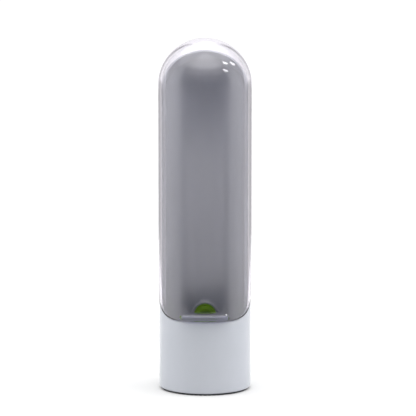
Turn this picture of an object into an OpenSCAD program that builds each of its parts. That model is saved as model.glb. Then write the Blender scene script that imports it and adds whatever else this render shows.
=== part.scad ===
// Herb keeper: a tall capsule that keeps cut herbs standing in water.
// A white body holds the water cup and the back wall, a clear front cover slides up and
// off, and a silicone plug closes the refill port in the back wall.
// The origin is on the floor under the axis, +Z is up and the front faces -Y.

/* [Overall] */
// Height from the floor to the top of the dome
total_h = 245; // [200:1:300]
// Outer diameter of the clear cover, the widest round of the keeper
cover_d = 65; // [58:0.5:80]
// How far the cover's face stands out from the body's face, all round
cover_step = 0.5; // [0.2:0.1:1]

/* [Body] */
// Wall of the body
body_wall = 2.6; // [2:0.1:3.2]
// Height of the cup's rim at the front
rim_h = 51.2; // [44:0.2:70]
// Radius of the sweep from the front rim up into the side edges
sweep_r = 27; // [18:0.5:27.5]
// How far the side edges stand in front of the axis
split_front = 1; // [0:0.1:2]
// Backward tilt of the edge across the dome, from upright
split_tilt = 45; // [30:1:55]
// Radius of the bend where the edge turns back over the dome
bend_r = 14; // [6:1:18]
// Rounding of the body's lower outer edge
bottom_round = 1.2; // [0.4:0.1:1.4]

/* [Front cover] */
// Wall of the clear cover
cover_wall = 2.2; // [1.6:0.1:2.4]
// Seam between the cover's edge and the body's edge
seam_gap = 0.4; // [0.3:0.05:0.8]

/* [Thumb ledge] */
// Width of the ledge at the foot of the cover
ledge_w = 32; // [20:0.5:40]
// Height of the ledge
ledge_h = 2.8; // [2.4:0.1:5]
// How far the ledge stands out from the cover
ledge_out = 2.8; // [1.6:0.1:4]
// Clear wall left below the ledge
ledge_lift = 1.1; // [0.3:0.1:2]
// Rounding of the ledge's front edges
ledge_nose = 0.8; // [0.5:0.1:1.2]
// Rounding of the ledge's upper corners, seen from the front
ledge_round = 1.2; // [0.5:0.1:2]

/* [Lap tongue and guide rail] */
// Gap between the cover's inner face and the tongue behind it
tongue_gap = 1.5; // [1.2:0.1:2]
// Thickness of the tongue
tongue_wall = 1.6; // [1.2:0.1:2]
// How far the tongue reaches forward of the body's edge
tongue_reach = 4.2; // [3.6:0.1:6]
// Depth of the thick root behind the body's edge
root_depth = 4; // [2:0.2:6]
// Height of the cup's inner wall under the tongue's lower end
tongue_foot_h = 58; // [54:0.5:62]
// Running clearance of the cover's guide ribs
slide_gap = 0.3; // [0.2:0.05:0.5]
// Width of the guide rail along the tongue
rail_w = 1.2; // [0.8:0.1:1.6]
// Set-back of the rail from the tongue's front edge
rail_setback = 1; // [0.6:0.1:1.4]
// Height where the guide rail ends, above the floor
rail_top_h = 198; // [150:1:205]
// Height of a drain notch in the rail
notch_h = 2.8; // [1.5:0.1:4]
// Height of the middle drain notch above the floor
notch_mid_z = 150.5; // [120:0.5:170]
// Height of the lowest drain notch above the floor
notch_low_z = 83.2; // [80:0.2:95]
// Step between the two lower drain notches
notch_step = 9; // [6:0.5:14]

/* [Refill port and plug] */
// Height of the refill port's axis
port_h = 46.5; // [34:0.5:48]
// Diameter of the port's bore
port_d = 16.5; // [12:0.1:20]
// Radial fit of the plug in the bore
plug_fit = 0.1; // [0.02:0.01:0.1]
// Width of the collar round the bore, inside the body
collar_w = 1.0; // [1:0.1:3]
// How far the collar stands in from the wall's inner face
collar_in = 1.9; // [1.6:0.1:4]
// How far the plug's nose stands in from the collar
nose_in = 4.4; // [2:0.1:8]
// Length of the tapered end of the plug's nose
nose_taper = 2.4; // [1:0.1:4]
// Step in from the shank to the tapered end, in radius
nose_step = 1.3; // [0.5:0.1:1.6]
// How much the taper draws the end in, in radius
nose_draw = 1.7; // [0.5:0.1:2]
// Diameter of the hollow in the plug's nose
hollow_d = 7.4; // [5:0.1:8]
// Depth of the hollow in the plug's nose
hollow_depth = 6.5; // [3:0.1:9]
// Gap between the body and the plug's flange
flange_gap = 0.2; // [0.1:0.05:0.4]
// Thickness of the plug's flange
flange_t = 1.8; // [1.2:0.1:3]
// How far the flange reaches past the bore, in radius
flange_lap = 2.4; // [1.5:0.1:4]
// Width of the pull tab
tab_w = 10; // [7:0.5:14]
// Height of the pull tab's end above the port's axis
tab_reach = 19; // [15:0.5:26]
// Thickness of the pull tab
tab_t = 1.8; // [1.2:0.1:2.6]
// Width and spacing unit of the grip grooves in the tab
grip_w = 1; // [0.6:0.1:1.4]
// Depth of the grip grooves
grip_depth = 0.5; // [0.2:0.05:0.8]

/* [Base cap, seal and foot] */
// Height of the foot ring, from the floor to the body's lower edge
foot_h = 1.2; // [0.8:0.1:3]
// Inset of the foot ring from the body's outer face
foot_inset = 1.4; // [1.2:0.1:3]
// Width of the foot ring
foot_w = 4; // [3:0.1:6]
// Width of the rib that holds the foot ring in the cap
foot_rib_w = 1.2; // [0.8:0.1:1.6]
// Height of that rib
foot_rib_h = 0.9; // [0.5:0.1:1.2]
// Body wall left round the cap
cap_seat_wall = 1.8; // [1.5:0.1:2]
// Height of the cap
cap_h = 6.2; // [5.6:0.1:9]
// Thickness of the cap's floor
cap_floor = 2.4; // [1.6:0.1:2.6]
// Width of the cap's rim
cap_rim_w = 4.1; // [3.8:0.1:6]
// Radial clearance of the cap in the body
cap_gap = 0.1; // [0.05:0.05:0.2]
// Cord diameter of the base seal
seal_cord = 1.8; // [1.4:0.1:1.9]
// Squeeze of the seal on each side
seal_squeeze = 0.1; // [0.05:0.05:0.2]
// Height of the seal's middle above the cap's lower face
seal_up = 4; // [3.6:0.1:6]
// Height of the snap bead's middle above the cap's lower face
snap_up = 1.7; // [1.2:0.1:2]
// How far the snap bead stands out from the cap
snap_out = 0.3; // [0.1:0.05:0.4]
// Half height of the snap bead
snap_half = 0.6; // [0.3:0.1:0.8]

/* [Hidden] */
$fn = 96;
// one overrun for every cut
over = 1;
// clearance round the foot ring's rib and the snap bead
small_gap = 0.1;

cover_r = cover_d / 2;
cover_in_r = cover_r - cover_wall;
body_r = cover_r - cover_step;
body_in_r = body_r - body_wall;
dome_z = total_h - cover_r;
span = total_h;

// the split between cover and body, seen from the side
split_y = -split_front;
sweep_y = split_y - sweep_r;
sweep_z = rim_h + sweep_r;

// the lap tongue and the rail on it
tongue_r = cover_in_r - tongue_gap;
tongue_in_r = tongue_r - tongue_wall;
rail_r = cover_in_r - slide_gap;
rail_front = tongue_reach - rail_setback;
rail_back = rail_front - rail_w;
rib_front = rail_back - slide_gap;
rib_in_r = tongue_r + slide_gap;
notch_zs = [notch_low_z, notch_low_z + notch_step, notch_mid_z];
rib_z0 = notch_low_z - notch_h / 2;
rib_z1 = rail_top_h;

// the thumb ledge
ledge_r = cover_r + ledge_out;
ledge_z = rim_h + seam_gap + ledge_lift;

// the port and the plug
port_r = port_d / 2;
collar_r = port_r + collar_w;
collar_y = body_in_r - collar_in;
shank_r = port_r - plug_fit;
nose_y = collar_y - nose_in;
nose_root_r = shank_r - nose_step;
nose_r = nose_root_r - nose_draw;
hollow_r = hollow_d / 2;
flange_r = port_r + flange_lap;
flange_in = body_r + flange_gap;
flange_out = flange_in + flange_t;
shank_end = flange_in + flange_t / 3;
// the tab stands out behind as far as the ledge does in front, clear of the flange's face
tab_out = max(ledge_r, flange_out + tab_t / 2);
tab_round = tab_w / 2;

// the base
cap_seat_r = body_r - cap_seat_wall;
cap_r = cap_seat_r - cap_gap;
cap_hollow_r = cap_r - cap_rim_w;
foot_r = body_r - foot_inset;
foot_in_r = foot_r - foot_w;
foot_rib_r = foot_in_r + (foot_w - foot_rib_w) / 2;
seal_z = foot_h + seal_up;
seal_r = cap_seat_r + seal_squeeze - seal_cord / 2;
seal_seat_r = cap_seat_r + 2 * seal_squeeze - seal_cord;
seal_slot_h = seal_cord + 2 * small_gap;
snap_z = foot_h + snap_up;

white = [0.93, 0.94, 0.95];
clear = [0.82, 0.87, 0.92, 0.35];
green = [0.35, 0.6, 0.12];
frost = [0.85, 0.86, 0.86];
dark = [0.16, 0.17, 0.18];

// Half outline of an upright capsule: straight from z0, then round over the dome.
module capsule_2d(r, z0) {
    intersection() {
        union() {
            translate([0, z0]) square([r, dome_z - z0]);
            translate([0, dome_z]) circle(r = r);
        }
        translate([0, z0]) square([r, dome_z - z0 + r]);
    }
}

// A capsule's shell between two radii, open at the bottom.
module shell(r_out, r_in, z0) {
    rotate_extrude() difference() {
        capsule_2d(r_out, z0);
        capsule_2d(r_in, z0 - over);
    }
}

// Turns a side view, drawn as Y across and Z up, into a block along X.
module along_x() {
    rotate([90, 0, 90]) linear_extrude(height = 2 * span, center = true) children();
}

// Turns a profile round the port's axis, with its height along +Y.
module along_port() {
    translate([0, 0, port_h]) rotate([-90, 0, 0]) children();
}

// Side view of all that lies in front of the body's edge, moved forward by e.
// The edge is upright below the dome's middle and bends back over the dome.
module ahead_2d(e) {
    mid = [split_y + bend_r, dome_z - bend_r * tan(split_tilt / 2)];
    turn = mid + (bend_r + e) * [-cos(split_tilt), sin(split_tilt)];
    top = turn + span * [sin(split_tilt), cos(split_tilt)];
    difference() {
        translate([-span, 0]) square([2 * span, 2 * span]);
        polygon([[split_y - e, -over], [split_y - e, mid.y], mid, turn, top,
            [2 * span, top.y], [2 * span, -over]]);
        translate(mid) circle(r = bend_r + e);
    }
}

// Side view of a strip along the body's edge, from one distance forward to another.
module strip_2d(front, back) {
    difference() {
        ahead_2d(back);
        ahead_2d(front);
    }
}

// Side view of the cover's space: ahead of the edge and above the swept rim.
module cover_2d(e) {
    intersection() {
        ahead_2d(e);
        union() {
            translate([-span, sweep_z]) square([2 * span, span]);
            translate([-span, rim_h + e]) square([span + sweep_y, span]);
            translate([sweep_y, sweep_z]) circle(r = sweep_r - e);
        }
    }
}

// A ring that is upright all the way, for the straight stretch of the rail.
module tube(r_out, r_in, z0, z1) {
    translate([0, 0, z0]) difference() {
        cylinder(r = r_out, h = z1 - z0);
        translate([0, 0, -over]) cylinder(r = r_in, h = z1 - z0 + 2 * over);
    }
}

module tongue() {
    intersection() {
        shell(tongue_r, tongue_in_r, tongue_foot_h);
        along_x() strip_2d(tongue_reach, -root_depth);
    }
}

// The thick strip that ties the tongue to the body's wall.
module tongue_root() {
    difference() {
        intersection() {
            shell(body_r - body_wall / 2, tongue_in_r, tongue_foot_h);
            along_x() strip_2d(tongue_reach, -root_depth);
        }
        along_x() cover_2d(0);
    }
}

// The rail that keeps the cover's ribs on the body, with its drain notches.
module guide_rail() {
    difference() {
        intersection() {
            tube(rail_r, tongue_r - tongue_wall / 2, tongue_foot_h, rail_top_h);
            along_x() strip_2d(rail_front, rail_back);
        }
        for (z = notch_zs)
            translate([-span, -span, z - notch_h / 2]) difference() {
                cube([2 * span, 2 * span, notch_h]);
                translate([span, span, -over]) cylinder(r = tongue_r, h = notch_h + 2 * over);
            }
    }
}

module port_collar() {
    intersection() {
        along_port() translate([0, 0, collar_y]) cylinder(r = collar_r, h = body_wall + collar_in);
        cylinder(r = body_r - body_wall / 2, h = rim_h + port_d);
    }
}

module body_shell() {
    color(white) difference() {
        union() {
            difference() {
                shell(body_r, body_in_r, foot_h);
                along_x() cover_2d(0);
            }
            tongue();
            tongue_root();
            guide_rail();
            port_collar();
        }
        // seat of the base cap, with the groove of its snap bead
        translate([0, 0, foot_h - over]) cylinder(r = cap_seat_r, h = cap_h + over);
        translate([0, 0, snap_z]) rotate_extrude() polygon([
            [cap_seat_r - over, -snap_half - small_gap],
            [cap_seat_r, -snap_half - small_gap],
            [cap_seat_r + snap_out, 0],
            [cap_seat_r, snap_half + small_gap],
            [cap_seat_r - over, snap_half + small_gap]]);
        // rounded lower edge
        translate([0, 0, foot_h]) rotate_extrude() difference() {
            translate([body_r - bottom_round, -over]) square([bottom_round + over, bottom_round + over]);
            translate([body_r - bottom_round, bottom_round]) circle(r = bottom_round);
        }
        // refill port
        along_port() translate([0, 0, body_in_r - 2 * collar_in])
            cylinder(r = port_r, h = body_r);
    }
}

module guide_rib() {
    intersection() {
        tube(cover_r - cover_wall / 2, rib_in_r, rib_z0, rib_z1);
        along_x() strip_2d(rib_front, seam_gap);
    }
}

module thumb_ledge() {
    root_r = cover_r - cover_wall / 2;
    intersection() {
        // ring with rounded front edges
        translate([0, 0, ledge_z]) rotate_extrude() union() {
            translate([root_r, 0]) square([ledge_r - ledge_nose - root_r, ledge_h]);
            translate([root_r, ledge_nose]) square([ledge_r - root_r, ledge_h - 2 * ledge_nose]);
            for (z = [ledge_nose, ledge_h - ledge_nose])
                translate([ledge_r - ledge_nose, z]) circle(r = ledge_nose);
        }
        // rounded outline, seen from the front
        translate([0, 0, ledge_z]) union() {
            translate([-ledge_w / 2, -ledge_r - over, 0])
                cube([ledge_w, ledge_r + over, ledge_h - ledge_round]);
            translate([ledge_round - ledge_w / 2, -ledge_r - over, 0])
                cube([ledge_w - 2 * ledge_round, ledge_r + over, ledge_h]);
            for (side = [-1, 1])
                translate([side * (ledge_w / 2 - ledge_round), 0, ledge_h - ledge_round])
                    rotate([90, 0, 0]) cylinder(r = ledge_round, h = ledge_r + over);
        }
    }
}

module front_cover() {
    color(clear) union() {
        intersection() {
            shell(cover_r, cover_in_r, rim_h);
            along_x() cover_2d(seam_gap);
        }
        guide_rib();
        thumb_ledge();
    }
}

module pull_tab() {
    tab_mid = tab_reach - tab_round;
    difference() {
        intersection() {
            tube(tab_out, tab_out - tab_t, port_h - tab_round - over, port_h + tab_reach + over);
            translate([0, 0, port_h]) union() {
                translate([-tab_w / 2, 0, 0]) cube([tab_w, tab_out + over, tab_mid]);
                for (z = [0, tab_mid])
                    translate([0, 0, z]) rotate([-90, 0, 0])
                        cylinder(r = tab_round, h = tab_out + over);
            }
        }
        for (i = [0:2])
            tube(tab_out + over, tab_out - grip_depth,
                port_h + tab_mid + (2 * i - 2) * grip_w, port_h + tab_mid + (2 * i - 1) * grip_w);
    }
}

module refill_plug() {
    color(green) union() {
        along_port() rotate_extrude() polygon([
            [hollow_r, nose_y], [nose_r, nose_y], [nose_root_r, nose_y + nose_taper],
            [shank_r, nose_y + nose_taper], [shank_r, shank_end],
            [0, shank_end], [0, nose_y + hollow_depth], [hollow_r, nose_y + hollow_depth]]);
        intersection() {
            tube(flange_out, flange_in, port_h - flange_r - over, port_h + flange_r + over);
            along_port() cylinder(r = flange_r, h = flange_out + over);
        }
        pull_tab();
    }
}

module base_cap() {
    color(white) difference() {
        union() {
            translate([0, 0, foot_h]) cylinder(r = cap_r, h = cap_h);
            translate([0, 0, snap_z]) rotate_extrude() polygon([
                [cap_r - over, -snap_half], [cap_r, -snap_half],
                [cap_r + snap_out, 0],
                [cap_r, snap_half], [cap_r - over, snap_half]]);
        }
        translate([0, 0, foot_h - over])
            cylinder(r = cap_hollow_r, h = cap_h - cap_floor + over);
        // groove of the seal
        tube(cap_r + over, seal_seat_r, seal_z - seal_slot_h / 2, seal_z + seal_slot_h / 2);
        // groove of the foot ring's rib
        tube(foot_rib_r + foot_rib_w + small_gap, foot_rib_r - small_gap,
            foot_h - over, foot_h + foot_rib_h + small_gap);
    }
}

module base_seal() {
    color(frost) translate([0, 0, seal_z])
        rotate_extrude() translate([seal_r, 0]) circle(r = seal_cord / 2);
}

module foot_ring() {
    color(dark) union() {
        tube(foot_r, foot_in_r, 0, foot_h);
        tube(foot_rib_r + foot_rib_w, foot_rib_r, foot_h / 2, foot_h + foot_rib_h);
    }
}

body_shell();
front_cover();
refill_plug();
base_cap();
base_seal();
foot_ring();
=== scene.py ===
"""Herb keeper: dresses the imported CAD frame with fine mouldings, materials, light and a camera.

The white body and the clear cover are built as closed skins whose edges are rounded along the seam;
what follows the seam or repeats round the foot is grown by Geometry Nodes.
"""

from math import acos, asin, atan2, ceil, copysign, cos, dist, pi, radians, sin, sqrt, tan

import bmesh
import bpy
import numpy as np
from mathutils import Matrix, Quaternion, Vector, geometry


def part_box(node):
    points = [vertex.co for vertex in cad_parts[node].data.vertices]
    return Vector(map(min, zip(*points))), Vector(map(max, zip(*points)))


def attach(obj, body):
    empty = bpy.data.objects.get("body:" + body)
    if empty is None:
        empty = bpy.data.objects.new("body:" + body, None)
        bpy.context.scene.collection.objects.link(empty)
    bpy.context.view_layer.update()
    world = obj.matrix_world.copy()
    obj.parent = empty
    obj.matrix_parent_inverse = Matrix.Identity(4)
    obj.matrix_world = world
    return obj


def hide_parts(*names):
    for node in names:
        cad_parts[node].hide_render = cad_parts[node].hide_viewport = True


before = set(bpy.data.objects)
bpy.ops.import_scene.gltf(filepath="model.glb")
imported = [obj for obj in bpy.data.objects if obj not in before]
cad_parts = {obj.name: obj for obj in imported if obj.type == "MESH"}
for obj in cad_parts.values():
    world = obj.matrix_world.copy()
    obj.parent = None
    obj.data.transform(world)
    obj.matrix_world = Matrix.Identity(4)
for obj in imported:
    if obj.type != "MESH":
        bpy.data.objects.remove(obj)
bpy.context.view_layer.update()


def linked(name, data):
    """A new object, linked into the scene."""
    made = bpy.data.objects.new(name, data)
    bpy.context.scene.collection.objects.link(made)
    return made


# ---------- camera ----------
# Fitted to the keeper's outline, in metres: a little above the dome, looking slightly down. The
# lens and the sensor are in millimetres.
CAM_DISTANCE = 1.666
CAM_SIDE = 0.00207
CAM_HEIGHT = 0.3362
CAM_PITCH = radians(7.17)
CAM_LENS = 208.9
CAM_SENSOR = 36.0
CAM_CLIP = 50.0


def add_camera():
    data = bpy.data.cameras.new("camera")
    data.lens = CAM_LENS
    data.sensor_width = CAM_SENSOR
    data.clip_end = CAM_CLIP
    camera = linked("camera", data)
    camera.location = (CAM_SIDE, -CAM_DISTANCE, CAM_HEIGHT)
    camera.rotation_euler = (pi / 2 - CAM_PITCH, 0, 0)
    bpy.context.scene.camera = camera


add_camera()

# ---------- sizes, in millimetres ----------
# The cover and the body take their rounds from the frame; the rest repeats the part's own sizes.
MM = 0.001
COVER_R = round(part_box("front_cover")[1].x / MM, 1)
BODY_R = round(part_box("body_shell")[1].x / MM, 1)
TOTAL_H = round(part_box("front_cover")[1].z / MM, 1)
FOOT_H = round(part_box("body_shell")[0].z / MM, 1)
DOME_Z = TOTAL_H - COVER_R
DOME_MIDDLE = Vector((0, 0, DOME_Z))
COVER_WALL = 2.2
BODY_WALL = 2.6
COVER_IN_R = COVER_R - COVER_WALL
BODY_IN_R = BODY_R - BODY_WALL

# The seam between cover and body, seen from the side
RIM_H = 51.2
SWEEP_R = 27.0
SPLIT_Y = -1.0
SWEEP_Y = SPLIT_Y - SWEEP_R
SWEEP_Z = RIM_H + SWEEP_R
TILT = radians(45)
BEND_R = 14.0
BEND_Y = SPLIT_Y + BEND_R
BEND_Z = DOME_Z - BEND_R * tan(TILT / 2)
SEAM_GAP = 0.4

# How the moulded edges are rounded. A band of the body's wall follows its edge along the seam.
EDGE_BAND = 2.0
BODY_EDGE_ROUND = 1.1
BODY_BORE_ROUND = 0.25
COVER_EDGE_ROUND = 0.45
COVER_INNER_ROUND = 0.3
BOTTOM_ROUND = 1.2
CORNER_MIN = 0.06
SHARP_ANGLE = radians(50)

# The lap tongue with the root that ties it to the wall, its rail and the cover's rib
TONGUE_R = COVER_IN_R - 1.5
TONGUE_WALL = 1.6
TONGUE_REACH = 4.2
ROOT_DEPTH = 4.0
TONGUE_FOOT_H = 58.0
TONGUE_ROUND = 0.25
ROOT_FRONT = -0.06
ROOT_IN_R = TONGUE_R - 0.3
ROOT_OUT_R = BODY_IN_R + 0.6
ROOT_ROUND = 0.1
RAIL_W = 1.2
RAIL_FRONT = TONGUE_REACH - 1.0
RAIL_BACK = RAIL_FRONT - RAIL_W
SLIDE_GAP = 0.3
RAIL_R = COVER_IN_R - SLIDE_GAP
RAIL_IN_R = TONGUE_R - 0.4
RAIL_ROUND = 0.2
RAIL_TOP_H = 198.0
NOTCH_H = 2.8
NOTCH_ZS = (83.2, 92.2, 150.5)
RIB_FRONT = RAIL_BACK - SLIDE_GAP
RIB_OUT = COVER_IN_R - TONGUE_R - SLIDE_GAP
RIB_Z0 = NOTCH_ZS[0] - NOTCH_H / 2
RIB_RAMP = 1.2
RIB_FLANK = 0.4

# How far the bands along the cover's edge go on past its roundings, on the outer and inner face
BAND_OUT, BAND_IN = 0.1, 0.7

# The thumb ledge
LEDGE_W = 32.0
LEDGE_H = 2.8
LEDGE_OUT = 2.8
LEDGE_Z = RIM_H + SEAM_GAP + 1.1
LEDGE_ROUND = 1.2
LEDGE_EDGE = 0.8
# Between these distances from the axis, the cover's plastic turns from clear to frosted
FROST_FROM, FROST_TO = COVER_R + 0.1, COVER_R + 0.4
# How fast the clear plastic's cast deepens, per metre that light goes inside it
CAST_DENSITY = 50.0

# The refill port and its plug
PORT_H = 46.5
PORT_R = 8.25
PORT_ROUND = 0.4
COLLAR_R = PORT_R + 1.0
COLLAR_Y = BODY_IN_R - 1.9
SHANK_R = PORT_R - 0.1
NOSE_Y = COLLAR_Y - 4.4
NOSE_TAPER = 2.4
NOSE_ROOT_R = SHANK_R - 1.3
NOSE_R = NOSE_ROOT_R - 1.7
HOLLOW_R = 3.7
HOLLOW_END = NOSE_Y + 6.5
FLANGE_R = PORT_R + 2.4
FLANGE_IN = BODY_R + 0.2
FLANGE_OUT = FLANGE_IN + 1.8
TAB_W = 10.0
TAB_REACH = 19.0
TAB_T = 1.8
TAB_R = COVER_R + LEDGE_OUT
TAB_SOFT = 0.5
TAB_CORNER = TAB_W / 2 - 0.4
# The grip grooves cross the tab near its tip
GRIP_W = 1.0
GRIP_DEPTH = 0.5
GRIP_ZS = [PORT_H + TAB_REACH - TAB_W / 2 + GRIP_W * (2 * i - 1.5) for i in range(3)]

# The foot ring and its treads, which take a share of its width and height
FOOT_R = BODY_R - 1.4
FOOT_W = 4.0
FOOT_ROUND = 0.2
FOOT_TREADS = 60
TREAD_DEPTH = 0.4
TREAD_LENGTH = 2.4
TREAD_SHARE = 0.8

# The seat of the base cap
CAP_SEAT_R = BODY_R - 1.8
CAP_TOP = FOOT_H + 6.2

# How finely the shapes are drawn: the length of a mesh edge, or the number of steps
MESH_STEP = 2.4
DOME_STEP = MESH_STEP * 1.3
LEDGE_STEP = 1.0
TAB_STEP = 1.5
GRIP_STEP = 0.3
PATH_STEP = 3.0
PATH_BEND_STEPS, PATH_DOME_STEPS = 12, 30
SEAM_STEPS = {"front": 8, "sweep": 24, "side": 54, "bend": 9, "dome": 26}
ARC_STEPS = 5
RIB_STEPS = 6
PORT_STEPS = 48
BODY_STEPS = 84
FOOT_STEPS = 144


# ---------- closed skins ----------
def smoothstep(value):
    """0 below 0, 1 above 1 and smooth between."""
    value = min(1.0, max(0.0, value))
    return value * value * (3 - 2 * value)


def rounded(corners):
    """An open profile through corners (across, out, rounding), with the way each point faces, which
    is to the left."""
    line = []
    for i, (across, out, round_r) in enumerate(corners):
        here = Vector((across, out))
        came = (here - Vector(corners[i - 1][:2])).normalized() if i else None
        goes = (Vector(corners[i + 1][:2]) - here).normalized() if i + 1 < len(corners) else None
        if came is None or goes is None:
            way = goes or came
            line.append((across, out, -way.y, way.x))
            continue
        turn = atan2(came.cross(goes), came.dot(goes))
        start = here - came * round_r * tan(abs(turn) / 2)
        side = copysign(1.0, turn)
        face = Vector((-came.y, came.x))
        middle = start + side * round_r * face
        for step in range(ARC_STEPS + 1):
            a = turn * step / ARC_STEPS
            n = Vector((face.x * cos(a) - face.y * sin(a), face.x * sin(a) + face.y * cos(a)))
            p = middle - side * round_r * n
            line.append((p.x, p.y, n.x, n.y))
    return line


class Skin:
    """The corners, outward directions and faces of one closed moulding, in millimetres."""

    def __init__(self):
        self.points, self.normals, self.faces = [], [], []

    def add(self, point, normal):
        self.points.append(Vector(point))
        self.normals.append(Vector(normal).normalized())
        return len(self.points) - 1

    def strips(self, rows):
        """Quads between neighbouring closed rows of corners."""
        for low, high in zip(rows, rows[1:]):
            for i, corner in enumerate(low):
                j = (i + 1) % len(low)
                self.faces.append((corner, low[j], high[j], high[i]))

    def fill(self, outline, holes, lift, step):
        """Triangles inside a chart's outline and outside its holes. Each is a list of
        (corner, (u, v)), and lift turns (u, v) into a point and the way it faces."""
        loops = [outline] + holes
        flat = [uv for loop in loops for _, uv in loop]
        corners = [corner for loop in loops for corner, _ in loop]
        edges, first = [], 0
        for loop in loops:
            edges += [(first + i, first + (i + 1) % len(loop)) for i in range(len(loop))]
            first += len(loop)
        # the rim is walked in fine steps, so that no point of the lattice lies too near to it
        rim = []
        for a, b in edges:
            parts = ceil(dist(flat[a], flat[b]) / (0.4 * step))
            along = np.array(flat[b]) - flat[a]
            rim += [np.array(flat[a]) + along * k / parts for k in range(parts)]
        low, high = np.min(rim, axis=0), np.max(rim, axis=0)
        row_h = step * sqrt(3) / 2
        lattice = np.array([(low[0] + (i + (j % 2) / 2) * step, low[1] + j * row_h)
                            for j in range(int((high[1] - low[1]) / row_h) + 1)
                            for i in range(int((high[0] - low[0]) / step) + 1)])
        inside = inside_loops(lattice, loops)
        near = np.full(len(lattice), np.inf)
        for at in rim:
            near = np.minimum(near, np.hypot(*(lattice - at).T))
        lattice = lattice[inside & (near > 0.5 * step)]
        spots = [Vector(p) for p in flat] + [Vector(p) for p in lattice]
        made, _, faces, sources, _, _ = geometry.delaunay_2d_cdt(spots, edges, [], 0, 1e-5)
        corners += [self.add(*lift(float(u), float(v))) for u, v in lattice]
        middles = np.array([sum((made[i] for i in face), Vector((0, 0))) / 3 for face in faces])
        for face, keep in zip(faces, inside_loops(middles, loops)):
            if keep:
                self.faces.append(tuple(corners[sources[i][0]] for i in face))

    def piece(self, name, material):
        """The finished mesh object, in metres, with its faces outwards."""
        mesh = bpy.data.meshes.new(name)
        mesh.from_pydata([p * MM for p in self.points], [], self.faces)
        shape = bmesh.new()
        shape.from_mesh(mesh)
        bmesh.ops.recalc_face_normals(shape, faces=shape.faces)
        shape.to_mesh(mesh)
        shape.free()
        mesh.shade_smooth()
        mesh.normals_split_custom_set_from_vertices([tuple(n) for n in self.normals])
        mesh.materials.append(material)
        return linked(name, mesh)


def inside_loops(points, loops):
    """Which points lie inside an odd number of loops."""
    odd = np.zeros(len(points), bool)
    x, y = points[:, 0], points[:, 1]
    for loop in loops:
        at = np.array([uv for _, uv in loop])
        for (ax, ay), (bx, by) in zip(at, np.roll(at, -1, axis=0)):
            if ay != by:
                crosses = (ay > y) != (by > y)
                odd ^= crosses & (x < (bx - ax) * (y - ay) / (by - ay) + ax)
    return odd


# ---------- the seam's curve ----------
def seam_at(part, share, ahead, radius):
    """A point along the seam on the right side, its outward and its forward direction. ahead is how
    far it lies before the body's edge, radius how far from the axis or the dome's middle."""
    x, bend_r = None, BEND_R + ahead
    if part == "front":
        a = pi + (acos(SWEEP_Y / radius) - pi) * share
        y, z, forward = radius * cos(a), RIM_H + ahead, (0, 0, 1)
    elif part == "sweep":
        a = -pi / 2 * (1 - share)
        y, z = SWEEP_Y + (SWEEP_R - ahead) * cos(a), SWEEP_Z + (SWEEP_R - ahead) * sin(a)
        forward = (0, -cos(a), -sin(a))
    elif part == "side":
        y, z, forward = SPLIT_Y - ahead, SWEEP_Z + (BEND_Z - SWEEP_Z) * share, (0, -1, 0)
    elif part == "bend":
        a = pi - TILT * share
        y, z = BEND_Y + bend_r * cos(a), BEND_Z + bend_r * sin(a)
        forward = (0, cos(a), sin(a))
    else:
        forward = (0, -cos(TILT), sin(TILT))
        turn_y = BEND_Y + bend_r * forward[1]
        turn_z = BEND_Z - DOME_Z + bend_r * forward[2]
        off = turn_y * forward[1] + turn_z * forward[2]
        along = turn_y * forward[2] - turn_z * forward[1]
        ring = sqrt(radius**2 - off**2)
        first = asin(along / ring)
        a = first + (pi / 2 - first) * share
        x = ring * cos(a)
        y = off * forward[1] + ring * sin(a) * forward[2]
        z = DOME_Z + off * forward[2] - ring * sin(a) * forward[1]
    up = max(0.0, z - DOME_Z)
    if x is None:
        x = sqrt(max(0.0, radius**2 - y**2 - up**2))
    return Vector((x, y, z)), Vector((x, y, up)) / radius, Vector(forward)


def shares(count, *extra):
    """Even shares of a stretch, without its end, and any special ones."""
    return sorted({i / count for i in range(count)} | set(extra))


def side_share(z):
    return (z - SWEEP_Z) / (BEND_Z - SWEEP_Z)


def equator_share(ahead):
    """Where the bend passes the height of the dome's middle, for an edge this far ahead."""
    return asin((DOME_Z - BEND_Z) / (BEND_R + ahead)) / TILT


def seam_stations(levels=(), bends=()):
    """Places along the seam from the middle of the front rim to the top of the dome, with extra
    ones at these heights of the side and these shares of the bend."""
    extra = {"side": [side_share(z) for z in levels], "bend": bends}
    stations = [(part, share) for part, count in SEAM_STEPS.items()
                for share in shares(count, *extra.get(part, ()))]
    return stations + [("dome", 1.0)]


def seam_rows(skin, stations, profile):
    """Sweeps a profile round the whole seam. Each row starts at the middle of the front rim,
    climbs the right side and comes down the left."""
    rings = []
    for mirror, run in ((1, stations), (-1, stations[-2:0:-1])):
        for part, share in run:
            ring = []
            for ahead, radius, n_ahead, n_out in profile(part, share):
                point, out, forward = seam_at(part, share, ahead, radius)
                facing = n_ahead * forward + n_out * out
                middle = (part, share) in (stations[0], stations[-1])
                point.x *= 0 if middle else mirror
                facing.x *= 0 if middle else mirror
                ring.append(skin.add(point, facing))
            rings.append(ring)
    rows = [list(row) for row in zip(*rings)]
    skin.strips(rows)
    return rows


# ---------- charts of the capsule ----------
def unroll_back(point, radius):
    """Chart of the body's wall, unrolled from the back, with the dome's height as an arc."""
    rise = point.z - DOME_Z
    v = point.z if rise < 0 else DOME_Z + radius * asin(min(1.0, rise / radius))
    return radius * atan2(point.x, point.y), v


def roll_back(radius, facing):
    def lift(u, v):
        lat = max(0.0, v - DOME_Z) / radius
        a = u / radius
        out = Vector((cos(lat) * sin(a), cos(lat) * cos(a), sin(lat)))
        return out * radius + Vector((0, 0, min(v, DOME_Z))), out * facing
    return lift


def unroll_front(point, radius):
    """Chart of the cover's upright part, unrolled from the front."""
    return radius * atan2(point.x, -point.y), point.z


def roll_front(radius, facing):
    def lift(u, v):
        out = Vector((sin(u / radius), -cos(u / radius), 0))
        return out * radius + Vector((0, 0, v)), out * facing
    return lift


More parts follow.
